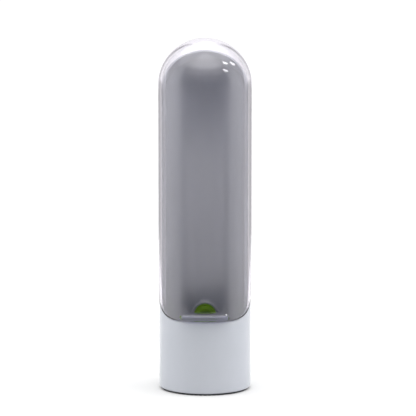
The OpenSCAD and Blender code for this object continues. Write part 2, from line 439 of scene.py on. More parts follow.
# The cover's dome is charted from the middle of its area, half way from the front to the back edge
CHART_LEAN = radians(67.5)
DOME_OUT = Vector((0, -cos(CHART_LEAN), sin(CHART_LEAN)))
DOME_UP = Vector((0, sin(CHART_LEAN), cos(CHART_LEAN)))


def unroll_dome(point, radius):
    out = (point - DOME_MIDDLE) / radius
    scale = 2 * radius / (1 + out.dot(DOME_OUT))
    return scale * out.x, scale * out.dot(DOME_UP)


def roll_dome(radius, facing):
    def lift(u, v):
        a, b = u / (2 * radius), v / (2 * radius)
        far = a * a + b * b
        out = (Vector((2 * a, 0, 0)) + 2 * b * DOME_UP + (1 - far) * DOME_OUT) / (1 + far)
        return out * radius + DOME_MIDDLE, out * facing
    return lift


def charted(skin, corners, unroll, radius):
    return [(c, unroll(skin.points[c], radius)) for c in corners]


# ---------- bosses that stand on the wall: thumb ledge and pull tab ----------
def frame_loop(half_w, low, high, corner, inset):
    """A rounded rectangle seen from the front or back, as (x, z, outward x, outward z)."""
    pieces = [max(1, round(side / 2)) for side in (high - low - 2 * corner, 2 * (half_w - corner))]
    half_w, low, high = half_w - inset, low + inset, high - inset
    corner = max(corner - inset, CORNER_MIN)
    middles = ((half_w - corner, low + corner, -90), (half_w - corner, high - corner, 0),
               (corner - half_w, high - corner, 90), (corner - half_w, low + corner, 180))
    loop = []
    for i, (x, z, start) in enumerate(middles):
        for step in range(ARC_STEPS + 2):
            a = radians(start + 90 * step / (ARC_STEPS + 1))
            n_x, n_z = cos(a), sin(a)
            loop.append((x + corner * n_x, z + corner * n_z, n_x, n_z))
        near_x, near_z, n_x, n_z = loop[-1]
        next_x, next_z, _ = middles[(i + 1) % 4]
        far_x, far_z = next_x + corner * n_x, next_z + corner * n_z
        for k in range(1, pieces[i % 2]):
            share = k / pieces[i % 2]
            loop.append((near_x + (far_x - near_x) * share, near_z + (far_z - near_z) * share,
                         n_x, n_z))
    return loop


def boss_rows(skin, outline, base_r, front, profile):
    """Rows of a boss whose outline is seen from the front or back, on a wall of this radius.
    Each profile point is (inset, height over the wall, facing sideways, facing outwards)."""
    rows = []
    for inset, height, n_side, n_out in profile:
        row = []
        for x, z, side_x, side_z in frame_loop(*outline, inset):
            radius = base_r + height
            y = sqrt(radius**2 - x**2) * (-1 if front else 1)
            facing = n_side * Vector((side_x, 0, side_z)) + n_out * Vector((x, y, 0)) / radius
            row.append(skin.add((x, y, z), facing))
        rows.append(row)
    skin.strips(rows)
    return rows


def nose_profile(height, round_r):
    """A boss's side up to its rounded top edge."""
    line = []
    for step in range(ARC_STEPS + 2):
        a = pi / 2 * step / (ARC_STEPS + 1)
        line.append((round_r * (1 - cos(a)), height - round_r * (1 - sin(a)), cos(a), sin(a)))
    return line


def make_cover(material):
    """The clear cover: its rounded edge with the guide ribs, both faces and the thumb ledge."""
    skin = Skin()
    outer_ahead = SEAM_GAP + COVER_EDGE_ROUND + BAND_OUT
    inner_ahead = RIB_FRONT + BAND_IN

    def profile(part, share):
        rib = 0.0
        if part == "side":
            z = SWEEP_Z + (BEND_Z - SWEEP_Z) * share
            rib = (RIB_OUT * smoothstep((z - RIB_Z0) / RIB_RAMP)
                   * smoothstep((RAIL_TOP_H - z) / RIB_RAMP))
        line = [(inner_ahead, COVER_IN_R, 0, -1)]
        for i in range(RIB_STEPS + 1):
            dip = i / RIB_STEPS
            steep = -rib * 6 * dip * (1 - dip) / RIB_FLANK
            face = Vector((-steep, -1)).normalized()
            line.append((RIB_FRONT + RIB_FLANK * (0.5 - dip), COVER_IN_R - rib * smoothstep(dip),
                         face.x, face.y))
        line += rounded([(SEAM_GAP + BAND_IN, COVER_IN_R - rib, 0),
                         (SEAM_GAP, COVER_IN_R - rib, COVER_INNER_ROUND),
                         (SEAM_GAP, COVER_R, COVER_EDGE_ROUND), (outer_ahead, COVER_R, 0)])
        return line

    levels = [RIB_Z0 + RIB_RAMP * k / 4 for k in range(5)]
    levels += [RAIL_TOP_H - RIB_RAMP * k / 4 for k in range(5)]
    bends = [equator_share(outer_ahead), equator_share(inner_ahead)]
    stations = seam_stations(levels, bends)
    rows = seam_rows(skin, stations, profile)

    ledge = (LEDGE_W / 2, LEDGE_Z, LEDGE_Z + LEDGE_H, LEDGE_ROUND)
    rings = boss_rows(skin, ledge, COVER_R, True,
                      [(0, 0, 0.7, 0.7)] + nose_profile(LEDGE_OUT, LEDGE_EDGE))
    skin.fill(charted(skin, rings[-1], unroll_front, COVER_R + LEDGE_OUT), [],
              roll_front(COVER_R + LEDGE_OUT, 1), LEDGE_STEP)

    # the outer face, with a hole for the ledge, and the inner face: each has an upright part and a
    # dome, which meet at the height of the dome's middle
    for row, share, radius, facing, holes in ((rows[-1], bends[0], COVER_R, 1, [rings[0]]),
                                              (rows[0], bends[1], COVER_IN_R, -1, [])):
        top = stations.index(("bend", share))
        right, left = row[: top + 1], row[-top:]
        arc = atan2(skin.points[right[-1]].x, -skin.points[right[-1]].y)
        count = round(2 * arc * radius / MESH_STEP)
        equator = []
        for i in range(1, count):
            a = arc * (1 - 2 * i / count)
            out = Vector((sin(a), -cos(a), 0))
            equator.append(skin.add(out * radius + DOME_MIDDLE, out * facing))
        skin.fill(charted(skin, left + right + equator, unroll_front, radius),
                  [charted(skin, hole, unroll_front, radius) for hole in holes],
                  roll_front(radius, facing), MESH_STEP)
        skin.fill(charted(skin, row[top : len(row) - top + 1] + equator[::-1], unroll_dome, radius),
                  [], roll_dome(radius, facing), DOME_STEP)
    return skin.piece("front_cover_moulding", material)


def make_plug(material):
    """The silicone plug: hollow nose, shank and flange turned round the port's axis."""
    skin = Skin()
    soft, crisp, tip_r = 0.7, 0.3, 0.6
    nose = rounded([(tip_r, HOLLOW_END, 0), (HOLLOW_R, HOLLOW_END, soft), (HOLLOW_R, NOSE_Y, crisp),
                    (NOSE_R, NOSE_Y, crisp), (NOSE_ROOT_R, NOSE_Y + NOSE_TAPER, crisp),
                    (SHANK_R, NOSE_Y + NOSE_TAPER, crisp), (SHANK_R, BODY_R - 1, 0)])
    profile = [(reach, y, None, -n_side, -n_y) for reach, y, n_side, n_y in nose]
    flange = rounded([(SHANK_R, FLANGE_IN, 0), (FLANGE_R, FLANGE_IN, crisp),
                      (FLANGE_R, FLANGE_OUT, soft), (tip_r, FLANGE_OUT, 0)])
    profile += [(reach, None, wall, -n_side, -n_out) for reach, wall, n_side, n_out in flange]
    rows = port_rows(skin, profile)
    for row, y, way in ((rows[0], HOLLOW_END, -1), (rows[-1], FLANGE_OUT, 1)):
        tip = skin.add((0, y, PORT_H), (0, way, 0))
        skin.faces += [(row[i], row[(i + 1) % len(row)], tip) for i in range(len(row))]
    return skin.piece("refill_plug_moulding", material)


def make_pull_tab(material):
    """The plug's pull tab, a strap that follows the body's round, with its grip grooves."""
    skin = Skin()
    outline = (TAB_W / 2, PORT_H - TAB_W / 2, PORT_H + TAB_REACH, TAB_CORNER)
    side = [(TAB_SOFT, 0, 0, -1), (0, TAB_SOFT, 1, 0)]
    rings = boss_rows(skin, outline, TAB_R - TAB_T, False, side + nose_profile(TAB_T, TAB_SOFT))

    def grooved(u, v):
        deep = steep = 0.0
        for mid in GRIP_ZS:
            off = (v - mid) / (GRIP_W / 2)
            if abs(off) < 1:
                deep += GRIP_DEPTH * (1 - off * off) ** 2
                steep += GRIP_DEPTH * 4 * off * (1 - off * off) / (GRIP_W / 2)
        out = Vector((sin(u / TAB_R), cos(u / TAB_R), 0))
        return out * (TAB_R - deep) + Vector((0, 0, v)), out - Vector((0, 0, steep))

    def back(u, v):
        return Vector((u, sqrt((TAB_R - TAB_T) ** 2 - u * u), v)), Vector((-u / TAB_R, -1, 0))

    face, foot = ([(c, skin.points[c]) for c in ring] for ring in (rings[-1], rings[0]))
    skin.fill([(c, (TAB_R * asin(at.x / TAB_R), at.z)) for c, at in face], [], grooved, GRIP_STEP)
    skin.fill([(c, (at.x, at.z)) for c, at in foot], [], back, TAB_STEP)
    return skin.piece("plug_pull_tab", material)


def revolved_rows(skin, profile):
    """Rows of a profile (radius, z, facing) turned round the axis, from the front centre round."""
    rows = []
    for radius, z, n_r, n_z in profile:
        row = []
        for i in range(BODY_STEPS):
            a = pi - 2 * pi * i / BODY_STEPS
            row.append(skin.add((radius * sin(a), radius * cos(a), z),
                                (n_r * sin(a), n_r * cos(a), n_z)))
        rows.append(row)
    skin.strips(rows)
    return rows


def port_rows(skin, profile):
    """Rows round the port's axis. Each profile point is (distance from the axis, y or None,
    radius of the wall it lies on or None, facing away from the axis, facing out of the wall)."""
    rows = []
    for reach, y, wall, n_side, n_out in profile:
        row = []
        for i in range(PORT_STEPS):
            a = 2 * pi * i / PORT_STEPS
            x, z = reach * cos(a), PORT_H + reach * sin(a)
            at_y = y if wall is None else sqrt(wall**2 - x**2)
            out = Vector((0, 1, 0)) if wall is None else Vector((x, at_y, 0)) / wall
            aside = Vector((cos(a), 0, sin(a)))
            row.append(skin.add((x, at_y, z), n_side * aside + n_out * out))
        rows.append(row)
    skin.strips(rows)
    return rows


def make_body(material):
    """The white body: its rounded edge along the seam, both faces, the foot and the refill port."""
    skin = Skin()
    edge = rounded([(-EDGE_BAND, BODY_R, 0), (0, BODY_R, BODY_EDGE_ROUND),
                    (0, BODY_IN_R, BODY_BORE_ROUND), (-EDGE_BAND, BODY_IN_R, 0)])
    rows = seam_rows(skin, seam_stations(), lambda part, share: edge)

    half = pi / 2
    foot = [(BODY_R, FOOT_H + BOTTOM_ROUND, 1, 0)]
    for step in range(1, ARC_STEPS + 1):
        a = half * step / ARC_STEPS
        foot.append((BODY_R - BOTTOM_ROUND * (1 - cos(a)),
                     FOOT_H + BOTTOM_ROUND * (1 - sin(a)), cos(a), -sin(a)))
    foot += [(CAP_SEAT_R + 0.1, FOOT_H, -0.3, -1), (CAP_SEAT_R, FOOT_H + 0.1, -1, -0.3),
             (CAP_SEAT_R, CAP_TOP - 0.1, -1, -0.3), (CAP_SEAT_R - 0.1, CAP_TOP, -0.3, -1),
             (BODY_IN_R, CAP_TOP, -1, -0.5), (BODY_IN_R, CAP_TOP + 1, -1, 0)]
    foot_rows = revolved_rows(skin, foot)

    port = [(PORT_R + PORT_ROUND * (1 - sin(a)), None, BODY_R - PORT_ROUND * (1 - cos(a)),
             -sin(a), cos(a)) for a in (half * k / 3 for k in range(4))]
    # both edges of the collar's end are eased
    ease = ((0, 0.3, 1, 0), (0.1, 0.1, 0.7, -0.7), (0.3, 0, 0, -1))
    port += [(PORT_R + aside, COLLAR_Y + out, None, -n_side, n_out)
             for aside, out, n_side, n_out in ease]
    port += [(COLLAR_R - aside, COLLAR_Y + out, None, n_side, n_out)
             for aside, out, n_side, n_out in ease[::-1]]
    port_rings = port_rows(skin, port + [(COLLAR_R, None, BODY_IN_R, 0.7, -0.7)])

    # both faces are charted from the back and cut open down the front, from the rim to the foot
    for i, radius, facing in ((0, BODY_R, 1), (-1, BODY_IN_R, -1)):
        row, ring, hole = rows[i], foot_rows[i], port_rings[i]
        low, high = skin.points[ring[0]].z, skin.points[row[0]].z
        count = round((high - low) / MESH_STEP)
        front = [skin.add((0, -radius, low + (high - low) * k / count), (0, -facing, 0))
                 for k in range(1, count)]
        half_turn = pi * radius
        round_foot = [(c, (half_turn - 2 * half_turn * k / len(ring), low))
                      for k, c in enumerate(ring)]
        round_foot.append((ring[0], (-half_turn, low)))
        up_left = [(c, (-half_turn, skin.points[c].z)) for c in front]
        edge_row = charted(skin, row, unroll_back, radius)
        edge_row[0] = (row[0], (half_turn, high))
        over = [(row[0], (-half_turn, high))] + edge_row[:0:-1] + [edge_row[0]]
        down_right = [(c, (half_turn, skin.points[c].z)) for c in front[::-1]]
        skin.fill(round_foot + up_left + over + down_right,
                  [charted(skin, hole, unroll_back, radius)], roll_back(radius, facing), MESH_STEP)
    return skin.piece("body_moulding", material)


# ---------- nodes ----------
def feed(tree, node, inputs):
    """Gives each of a node's inputs a value, or a link from a socket or a node's first output."""
    for key, value in inputs.items():
        if isinstance(value, bpy.types.Node):
            value = value.outputs[0]
        if isinstance(value, bpy.types.NodeSocket):
            tree.links.new(value, node.inputs[key])
        else:
            node.inputs[key].default_value = value


def add_node(tree, kind, settings=None, inputs=None):
    """Adds one node with its settings and what goes into it."""
    node = tree.nodes.new(kind)
    for name, value in (settings or {}).items():
        setattr(node, name, value)
    feed(tree, node, inputs or {})
    return node


# ---------- strips along the seam and the foot ring, by Geometry Nodes ----------
def new_tree(name, sizes):
    """A tree with a path, named sizes in metres and a material as its inputs."""
    tree = bpy.data.node_groups.new(name, "GeometryNodeTree")
    sockets = [("Geometry", "INPUT", "Geometry")] + [(size, "INPUT", "Float") for size in sizes]
    sockets += [("Material", "INPUT", "Material"), ("Geometry", "OUTPUT", "Geometry")]
    for label, way, kind in sockets:
        tree.interface.new_socket(label, in_out=way, socket_type="NodeSocket" + kind)
    return tree, add_node(tree, "NodeGroupInput").outputs


def close_tree(tree, shape, material):
    """Ends a tree in plain, painted geometry."""
    whole = add_node(tree, "GeometryNodeRealizeInstances", inputs={"Geometry": shape})
    painted = add_node(tree, "GeometryNodeSetMaterial",
                       inputs={"Geometry": whole, "Material": material})
    add_node(tree, "NodeGroupOutput", inputs={0: painted})


def seam_strip_tree():
    """A bar with rounded corners, swept along the seam and held upright by its outward way."""
    tree, given = new_tree("bar along the seam", ("Width", "Thickness", "Rounding"))
    path = add_node(tree, "GeometryNodeMeshToCurve", inputs={"Mesh": given["Geometry"]})
    outward = add_node(tree, "GeometryNodeInputNamedAttribute", {"data_type": "FLOAT_VECTOR"},
                       {"Name": "outward"})
    held = add_node(tree, "GeometryNodeSetCurveNormal", {"mode": "FREE"},
                    {"Curve": path, "Normal": outward.outputs["Attribute"]})
    bar = add_node(tree, "GeometryNodeCurvePrimitiveQuadrilateral", {"mode": "RECTANGLE"},
                   {"Width": given["Thickness"], "Height": given["Width"]})
    soft = add_node(tree, "GeometryNodeFilletCurve", {"mode": "POLY"},
                    {"Curve": bar, "Count": 3, "Radius": given["Rounding"]})
    swept = add_node(tree, "GeometryNodeCurveToMesh",
                     inputs={"Curve": held, "Profile Curve": soft, "Fill Caps": True})
    close_tree(tree, swept, given["Material"])
    return tree


def foot_tree():
    """The foot ring: a flat ring with tread blocks set round its underside."""
    tree, given = new_tree("foot ring with treads", (
        "Radius", "Width", "Height", "Rounding", "Tread depth", "Tread length"))
    circle = add_node(tree, "GeometryNodeCurvePrimitiveCircle", {"mode": "RADIUS"},
                      {"Resolution": FOOT_STEPS, "Radius": given["Radius"]})
    ring_h = add_node(tree, "ShaderNodeMath", {"operation": "SUBTRACT"},
                      {0: given["Height"], 1: given["Tread depth"]})
    bar = add_node(tree, "GeometryNodeCurvePrimitiveQuadrilateral", {"mode": "RECTANGLE"},
                   {"Width": given["Width"], "Height": ring_h})
    soft = add_node(tree, "GeometryNodeFilletCurve", {"mode": "POLY"},
                    {"Curve": bar, "Count": 2, "Radius": given["Rounding"]})
    ring = add_node(tree, "GeometryNodeCurveToMesh",
                    inputs={"Curve": circle, "Profile Curve": soft})
    ring_z = add_node(tree, "ShaderNodeMath", {"operation": "MULTIPLY_ADD"},
                      {0: ring_h, 1: 0.5, 2: given["Tread depth"]})
    ring_lift = add_node(tree, "ShaderNodeCombineXYZ", inputs={"Z": ring_z})
    raised = add_node(tree, "GeometryNodeTransform",
                      inputs={"Geometry": ring, "Translation": ring_lift})
    spots = add_node(tree, "GeometryNodeCurvePrimitiveCircle", {"mode": "RADIUS"},
                     {"Resolution": FOOT_TREADS, "Radius": given["Radius"]})
    # a tread is a little narrower than the ring, and reaches up into it
    tread_w, tread_h = (add_node(tree, "ShaderNodeMath", {"operation": "MULTIPLY"},
                                 {0: given[size], 1: TREAD_SHARE}) for size in ("Width", "Height"))
    tread_size = add_node(tree, "ShaderNodeCombineXYZ",
                          inputs={"X": given["Tread length"], "Y": tread_w, "Z": tread_h})
    tread = add_node(tree, "GeometryNodeMeshCube", inputs={"Size": tread_size})
    tangent = add_node(tree, "GeometryNodeInputTangent")
    turn = add_node(tree, "FunctionNodeAlignRotationToVector", {"axis": "X"}, {"Vector": tangent})
    placed = add_node(tree, "GeometryNodeInstanceOnPoints",
                      inputs={"Points": spots, "Instance": tread, "Rotation": turn})
    tread_z = add_node(tree, "ShaderNodeMath", {"operation": "MULTIPLY"}, {0: tread_h, 1: 0.5})
    tread_lift = add_node(tree, "ShaderNodeCombineXYZ", inputs={"Z": tread_z})
    treads = add_node(tree, "GeometryNodeTransform",
                      inputs={"Geometry": placed, "Translation": tread_lift})
    both = add_node(tree, "GeometryNodeJoinGeometry")
    for part in (raised, treads):
        feed(tree, both, {0: part})
    close_tree(tree, both, given["Material"])
    return tree


def grown(name, tree, path_mesh, values):
    """Runs a tree on a path mesh and keeps the result as a plain, smooth mesh at the origin."""
    seed = linked(name + "_path", path_mesh)
    grow = seed.modifiers.new("grow", "NODES")
    grow.node_group = tree
    labels = {item.name: item.identifier for item in tree.interface.items_tree
              if item.item_type == "SOCKET" and item.in_out == "INPUT"}
    for label, value in values.items():
        grow[labels[label]] = value
    done = seed.evaluated_get(bpy.context.evaluated_depsgraph_get())
    mesh = bpy.data.meshes.new_from_object(done)
    bpy.data.objects.remove(seed)
    mesh.name = name
    mesh.shade_smooth()
    mesh.set_sharp_from_angle(angle=SHARP_ANGLE)
    return linked(name, mesh)


def seam_path(name, ahead, radius, low_z, high_z=None):
    """A path mesh along the seam's upright sides from low_z, over the dome or up to high_z on one
    side, with the outward way stored at each point."""
    top = BEND_Z if high_z is None else high_z
    count = max(2, round((top - low_z) / PATH_STEP))
    spots = [("side", side_share(low_z + (top - low_z) * i / count))
             for i in range(count + (high_z is not None))]
    if high_z is None:
        spots += [("bend", s) for s in shares(PATH_BEND_STEPS)]
        spots += [("dome", s) for s in shares(PATH_DOME_STEPS)] + [("dome", 1.0)]
    line = [seam_at(part, share, ahead, radius)[:2] for part, share in spots]
    if high_z is None:
        flip = Vector((-1, 1, 1))
        line += [(point * flip, out * flip) for point, out in line[-2::-1]]
    mesh = bpy.data.meshes.new(name)
    links = [(i, i + 1) for i in range(len(line) - 1)]
    mesh.from_pydata([point * MM for point, _ in line], links, [])
    outward = mesh.attributes.new("outward", "FLOAT_VECTOR", "POINT")
    outward.data.foreach_set("vector", [c for _, out in line for c in out])
    return mesh


def mirror_path(mesh):
    """Moves a path and its outward ways to the left side."""
    for vertex, way in zip(mesh.vertices, mesh.attributes["outward"].data):
        vertex.co.x *= -1
        way.vector = (-way.vector[0], way.vector[1], way.vector[2])


# ---------- materials ----------
def srgb(code):
    """A hex colour as linear red, green, blue and 1."""
    parts = [int(code[i : i + 2], 16) / 255 for i in (1, 3, 5)]
    return (*(c / 12.92 if c <= 0.04045 else ((c + 0.055) / 1.055) ** 2.4 for c in parts), 1.0)


def new_material(name):
    """An empty material: its tree, its Principled shader and the piece's Object coordinates."""
    material = bpy.data.materials.new(name)
    material.use_nodes = True
    tree = material.node_tree
    place = add_node(tree, "ShaderNodeTexCoord").outputs["Object"]
    return material, tree, tree.nodes["Principled BSDF"], place


# Texture sizes are given in cycles per metre, worked out from real sizes in millimetres
def per_mm(size):
    return 1.0 / (size * MM)


def glossy_white_abs():
    """ABS, injection moulded in a polished mould: bluish white with a clear gloss, and light goes
    about a millimetre into it. A grain of about 0.4 mm is barely there; the flow of the melt leaves
    faint broad changes of gloss and tone a few centimetres across."""
    material, tree, shader, place = new_material("glossy_white_abs")
    grain = add_node(tree, "ShaderNodeTexNoise",
                     inputs={"Vector": place, "Scale": per_mm(0.4), "Detail": 2.0})
    flow = add_node(tree, "ShaderNodeTexNoise",
                    inputs={"Vector": place, "Scale": per_mm(35), "Detail": 3.0})
    rough = add_node(tree, "ShaderNodeMapRange",
                     inputs={"Value": flow, "To Min": 0.11, "To Max": 0.17})
    tone = add_node(tree, "ShaderNodeMix", {"data_type": "RGBA"},
                    {"Factor": flow, "A": srgb("#B7BBC2"), "B": srgb("#BDC0C8")})
    bump = add_node(tree, "ShaderNodeBump",
                    inputs={"Height": grain, "Strength": 0.06, "Distance": 0.02 * MM})
    feed(tree, shader, {
        "Base Color": tone.outputs["Result"], "Roughness": rough, "Normal": bump, "IOR": 1.53,
        "Subsurface Weight": 0.5, "Subsurface Radius": (1, 1, 1), "Subsurface Scale": 1.2 * MM})
    return material


def clear_san():
    """SAN, injection moulded in a polished mould: glass clear, sharp gloss, no haze, and a faint
    lavender cast that deepens along its edges, where the light goes a long way inside it. Its faces
    wave by a few hundredths of a millimetre over a few centimetres, as thick clear mouldings do.
    The mould is blasted where the thumb ledge stands out past the cover's round: there the same
    plastic is frosted to a milky grey, with a grain of about 0.3 mm."""
    material, tree, shader, place = new_material("clear_san")
    flat = add_node(tree, "ShaderNodeVectorMath", {"operation": "MULTIPLY"},
                    {0: place, 1: (1, 1, 0)})
    reach = add_node(tree, "ShaderNodeVectorMath", {"operation": "LENGTH"}, {0: flat})
    frost = add_node(tree, "ShaderNodeMapRange",
                     inputs={"Value": reach.outputs["Value"], "From Min": FROST_FROM * MM,
                             "From Max": FROST_TO * MM})
    tone = add_node(tree, "ShaderNodeMix", {"data_type": "RGBA"},
                    {"Factor": frost, "A": srgb("#FFFFFF"), "B": srgb("#D0D4E8")})
    grain = add_node(tree, "ShaderNodeTexNoise",
                     inputs={"Vector": place, "Scale": per_mm(0.3), "Detail": 2.0})
    blast = add_node(tree, "ShaderNodeMapRange",
                     inputs={"Value": grain, "To Min": 0.45, "To Max": 0.6})
    rough = add_node(tree, "ShaderNodeMath", {"operation": "MULTIPLY"}, {0: frost, 1: blast})
    clear = add_node(tree, "ShaderNodeMapRange",
                     inputs={"Value": frost, "To Min": 1.0, "To Max": 0.9})
    wave = add_node(tree, "ShaderNodeTexNoise",
                    inputs={"Vector": place, "Scale": per_mm(30), "Detail": 1.0})
    bump = add_node(tree, "ShaderNodeBump",
                    inputs={"Height": wave, "Strength": 0.35, "Distance": 0.05 * MM})
    feed(tree, shader, {"Base Color": tone.outputs["Result"], "Roughness": rough,
                        "Transmission Weight": clear, "Normal": bump, "IOR": 1.57})
    cast = add_node(tree, "ShaderNodeVolumeAbsorption",
                    inputs={"Color": srgb("#D6C3E9"), "Density": CAST_DENSITY})
    feed(tree, tree.nodes["Material Output"], {"Volume": cast})
    return material


def green_silicone():
    """Silicone rubber, compression moulded: leaf green, soft satin gloss that breaks up in a grain
    of about 0.3 mm, and slightly lighter where light gets into it."""
    material, tree, shader, place = new_material("green_silicone")
    grain = add_node(tree, "ShaderNodeTexNoise",
                     inputs={"Vector": place, "Scale": per_mm(0.3), "Detail": 2.0})
    cloud = add_node(tree, "ShaderNodeTexNoise",
                     inputs={"Vector": place, "Scale": per_mm(6), "Detail": 2.0})
    tone = add_node(tree, "ShaderNodeMix", {"data_type": "RGBA"},
                    {"Factor": cloud, "A": srgb("#74A400"), "B": srgb("#88BA00")})
    rough = add_node(tree, "ShaderNodeMapRange",
                     inputs={"Value": grain, "To Min": 0.4, "To Max": 0.52})
    bump = add_node(tree, "ShaderNodeBump",
                    inputs={"Height": grain, "Strength": 0.1, "Distance": 0.02 * MM})
    feed(tree, shader, {
        "Base Color": tone.outputs["Result"], "Roughness": rough, "Normal": bump, "IOR": 1.41,
        "Subsurface Weight": 0.2, "Subsurface Radius": (0.6, 1, 0.1), "Subsurface Scale": 2 * MM})
    return material


def textured_pp():
    """Polypropylene, injection moulded with a fine leather-like texture of about 0.6 mm: off-white,
    waxy and a little matte."""
    material, tree, shader, place = new_material("textured_pp")
    cells = add_node(tree, "ShaderNodeTexVoronoi", inputs={"Vector": place, "Scale": per_mm(0.6)})
    tone = add_node(tree, "ShaderNodeMix", {"data_type": "RGBA"},
                    {"Factor": cells, "A": srgb("#DFE2E6"), "B": srgb("#E6E9EC")})
    bump = add_node(tree, "ShaderNodeBump",
                    inputs={"Height": cells, "Strength": 0.25, "Distance": 0.05 * MM})
    feed(tree, shader, {"Base Color": tone.outputs["Result"], "Normal": bump, "Roughness": 0.5,
                        "IOR": 1.49})
    return material


def frosted_silicone():
    """Silicone rubber without pigment, for the seal: milky, soft satin, with a faint cloudiness of
    a few millimetres."""
    material, tree, shader, place = new_material("frosted_silicone")
    cloud = add_node(tree, "ShaderNodeTexNoise",
                     inputs={"Vector": place, "Scale": per_mm(3), "Detail": 2.0})
    tone = add_node(tree, "ShaderNodeMix", {"data_type": "RGBA"},
                    {"Factor": cloud, "A": srgb("#D9DAD8"), "B": srgb("#E4E5E3")})
    rough = add_node(tree, "ShaderNodeMapRange",
                     inputs={"Value": cloud, "To Min": 0.38, "To Max": 0.46})
    feed(tree, shader, {"Base Color": tone.outputs["Result"], "Roughness": rough, "IOR": 1.41})
    return material


def foot_tpe():
    """Thermoplastic elastomer, moulded, for the non-slip foot: dark grey, matte, with fine pores of
    about 0.25 mm."""
    material, tree, shader, place = new_material("foot_tpe")
    pores = add_node(tree, "ShaderNodeTexNoise",
                     inputs={"Vector": place, "Scale": per_mm(0.25), "Detail": 3.0})
    tone = add_node(tree, "ShaderNodeMix", {"data_type": "RGBA"},
                    {"Factor": pores, "A": srgb("#2B2C2F"), "B": srgb("#3A3B3F")})
    bump = add_node(tree, "ShaderNodeBump",
                    inputs={"Height": pores, "Strength": 0.2, "Distance": 0.03 * MM})
    feed(tree, shader, {"Base Color": tone.outputs["Result"], "Normal": bump, "Roughness": 0.7,
                        "IOR": 1.5})
    return material


# ---------- the pieces ----------
WHITE = glossy_white_abs()
CLEAR = clear_san()
GREEN = green_silicone()


def seam_strip(name, tree, path, width, thickness, rounding):
    return grown(name, tree, path, {"Width": width * MM, "Thickness": thickness * MM,
                                    "Rounding": rounding * MM, "Material": WHITE})


def add_body():
    """The white body: its moulding, and the tongue and guide rail that follow the seam."""
    pieces = [make_body(WHITE)]
    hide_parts("body_shell")
    bar = seam_strip_tree()
    path = seam_path("tongue_path", (TONGUE_REACH - ROOT_DEPTH) / 2, TONGUE_R - TONGUE_WALL / 2,
                     TONGUE_FOOT_H)
    pieces.append(seam_strip("lap_tongue", bar, path, TONGUE_REACH + ROOT_DEPTH, TONGUE_WALL,
                             TONGUE_ROUND))
    # the root ties the tongue to the wall, just behind the body's edge
    path = seam_path("root_path", (ROOT_FRONT - ROOT_DEPTH) / 2, (ROOT_IN_R + ROOT_OUT_R) / 2,
                     TONGUE_FOOT_H)
    pieces.append(seam_strip("tongue_root", bar, path, ROOT_DEPTH + ROOT_FRONT,
                             ROOT_OUT_R - ROOT_IN_R, ROOT_ROUND))
    # the rail runs in stretches between its drain notches
    notches = [z + side * NOTCH_H / 2 for z in NOTCH_ZS for side in (-1, 1)]
    ends = [TONGUE_FOOT_H] + notches + [RAIL_TOP_H]
    for i, (low, high) in enumerate(zip(ends[::2], ends[1::2])):
        for side in ("right", "left"):
            path = seam_path("rail_path", (RAIL_FRONT + RAIL_BACK) / 2, (RAIL_R + RAIL_IN_R) / 2,
                             low, high)
            if side == "left":
                mirror_path(path)
            pieces.append(seam_strip(f"guide_rail_{i + 1}_{side}", bar, path, RAIL_W,
                                     RAIL_R - RAIL_IN_R, RAIL_ROUND))
    for piece in pieces:
        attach(piece, "body")


def add_cover():
    cover = make_cover(CLEAR)
    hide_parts("front_cover")
    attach(cover, "cover")


def add_plug():
    plug = make_plug(GREEN)
    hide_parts("refill_plug")
    for piece in (plug, make_pull_tab(GREEN)):
        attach(piece, "plug")


def add_base():
    """The cap and the seal keep their CAD shapes; the foot ring gets its treads."""
    for node, material in (("base_cap", textured_pp()), ("base_seal", frosted_silicone())):
        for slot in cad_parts[node].material_slots:
            slot.material = material
    ring = grown("foot_ring_treads", foot_tree(), bpy.data.meshes.new("foot_ring_seed"), {
        "Radius": (FOOT_R - FOOT_W / 2) * MM, "Width": FOOT_W * MM, "Height": FOOT_H * MM,
        "Rounding": FOOT_ROUND * MM, "Tread depth": TREAD_DEPTH * MM,
        "Tread length": TREAD_LENGTH * MM, "Material": foot_tpe()})
    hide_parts("foot_ring")
    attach(ring, "body")


add_body()
add_cover()
add_plug()
add_base()

# ---------- studio ----------
# The pale table, in metres, and its tones: its colour darkens a little in front of the keeper, a
# painted shade for the light that falls off there
TABLE_SIDE = 0.30
TABLE_FRONT = -0.28
TABLE_BACK = 0.75
TABLE_PALE, TABLE_PAINTED_SHADE = 0.59, 0.48
SHADE_PAINT_FROM, SHADE_PAINT_TO = -0.11, -0.27
TABLE_GLOW = 0.05

# The light round the table comes in layers, each a list of brightness. Those of the first three are
# set against the turn from straight behind (0) to the camera (180), and each layer covers the ones
# before it from one height above level to another. All is in degrees.
LIGHT_GROUND = 1.0
# Just below the table's height, where the upright cover mirrors it
LIGHT_LOW = [(9, 1.08), (23, 0.48), (43, 0.75), (67, 1.30), (90, 1.60), (112, 1.50), (126, 1.15),
             (150, 0.90)]
LOW_RISE = (-14, -11)
# White paper hangs behind, tall soft boxes stand at both sides, and it is dark round the camera
LIGHT_ROUND = [(9, 1.08), (14, 1.06), (20, 0.22), (26, 1.00), (67, 1.25), (90, 1.80), (108, 1.65),
               (126, 0.7), (150, 0.0)]
ROUND_RISE = (-3, 1)
# A soft box hangs overhead
LIGHT_OVERHEAD = [(0, 2.6), (180, 2.6)]
OVERHEAD_RISE = (34, 62)
# In front, brightness goes by the height above level: a bright strip low down, dark round the
# camera, and a soft box that rises to overhead. It covers the rest from one turn to another.
LIGHT_FRONT = [(-10.5, 0.92), (-10.0, 0.04), (-9.45, 0.04), (-8.7, 0.90), (-6.3, 1.00), (-4.3, 0.0),
               (8, 0.0), (21, 0.25), (36, 0.95), (55, 2.9), (80, 3.6)]
FRONT_TURN = (103, 143)
# What a ramp's white stands for
RAMP_FULL = 4.0

